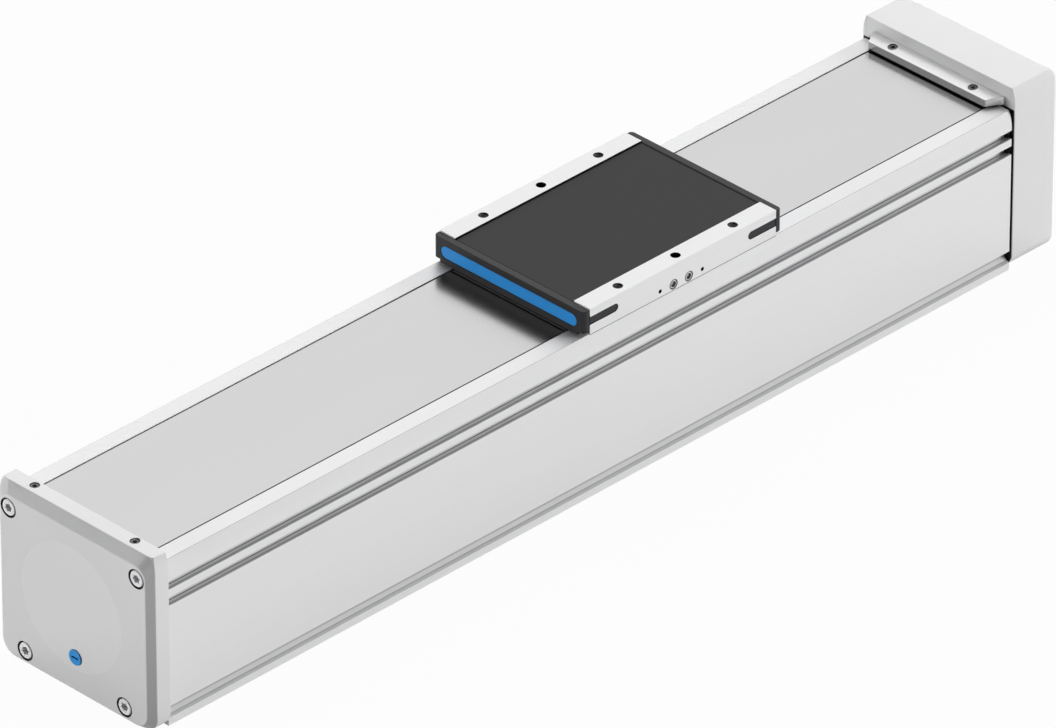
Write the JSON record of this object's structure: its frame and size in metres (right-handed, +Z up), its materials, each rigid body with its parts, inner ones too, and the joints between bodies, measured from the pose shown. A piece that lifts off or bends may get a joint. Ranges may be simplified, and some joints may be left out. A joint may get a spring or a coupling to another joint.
{
  "type": "ball screw linear axis",
  "caption": "Screw-driven linear axis: a slide on internal guide rails travels along a slotted aluminium profile under a steel cover strip, with a bare shaft end for a motor",
  "frame": {"origin": "middle of the body profile's underside, half way along its length", "axes": "+X along the axis towards the drive end with the shaft, +Y across the width, +Z up out of the slide"},
  "size_m": [0.7581, 0.124, 0.1255],
  "materials": {
    "anodised": "fine satin anodised",
    "cap_finish": "smooth satin powder coat in silver grey",
    "steel_strip": "smooth rolled stainless strip",
    "ground_steel": "ground and polished",
    "bearing_steel": "ground",
    "screw_steel": "zinc plated",
    "set_screw_steel": "bare steel",
    "black_plastic": "fine grained",
    "green_plastic": "moulded",
    "blue_plastic": "smooth",
    "black_plate": "black anodised satin",
    "buffer_rubber": "matt",
    "wiper_felt": "felt",
    "magnet_strip": "magnet filled",
    "magnet": "nickel plated",
    "brass": "turned"
  },
  "bodies": {
    "frame": {"profile": "anodised", "near_cap": "cap_finish", "drive_cap": "cap_finish", "clamp_bar": "anodised", "near_strip_screws": "set_screw_steel", "drive_strip_screws": "set_screw_steel", "cover_strip": "steel_strip", "magnet_strip_left": "magnet_strip", "magnet_strip_right": "magnet_strip", "guide_rail_left": "ground_steel", "guide_rail_right": "ground_steel", "near_cap_screws": "screw_steel", "drive_cap_screws": "screw_steel", "air_plug": "blue_plastic", "near_buffers": "buffer_rubber", "drive_buffers": "buffer_rubber", "bearing_outer_rings": "bearing_steel", "bearing_retainer": "screw_steel"},
    "slide": {"slide_body": "anodised", "ball_nut": "ground_steel", "cover_plate": "black_plate", "lubrication_nipples": "brass", "position_magnet": "magnet", "runner_block_near_left": "ground_steel", "runner_caps_near_left": "green_plastic", "runner_block_near_right": "ground_steel", "runner_caps_near_right": "green_plastic", "runner_block_drive_left": "ground_steel", "runner_caps_drive_left": "green_plastic", "runner_block_drive_right": "ground_steel", "runner_caps_drive_right": "green_plastic", "front_cover": "black_plastic", "front_inlay": "blue_plastic", "front_wiper": "wiper_felt", "front_strip_shoe": "black_plastic", "front_strip_ramp": "black_plastic", "rear_cover": "black_plastic", "rear_inlay": "blue_plastic", "rear_wiper": "wiper_felt", "rear_strip_shoe": "black_plastic", "rear_strip_ramp": "black_plastic"},
    "screw": {"ball_screw": "ground_steel", "bearing_inner_rings": "bearing_steel", "lock_nut": "screw_steel"}
  },
  "joints": [
    {"name": "slide_travel", "type": "slide", "parent": "frame", "child": "slide", "axis": [1, 0, 0], "range_m": [-0.31, 0.176], "deforming": ["cover_strip"]},
    {"name": "screw_spin", "type": "hinge", "parent": "frame", "child": "screw", "pos_m": [0, 0, 0.062], "axis": [1, 0, 0], "continuous": true}
  ],
  "couplings": [
    {"joint": "screw_spin", "follows": "slide_travel", "rad_per_m": -628.32}
  ]
}
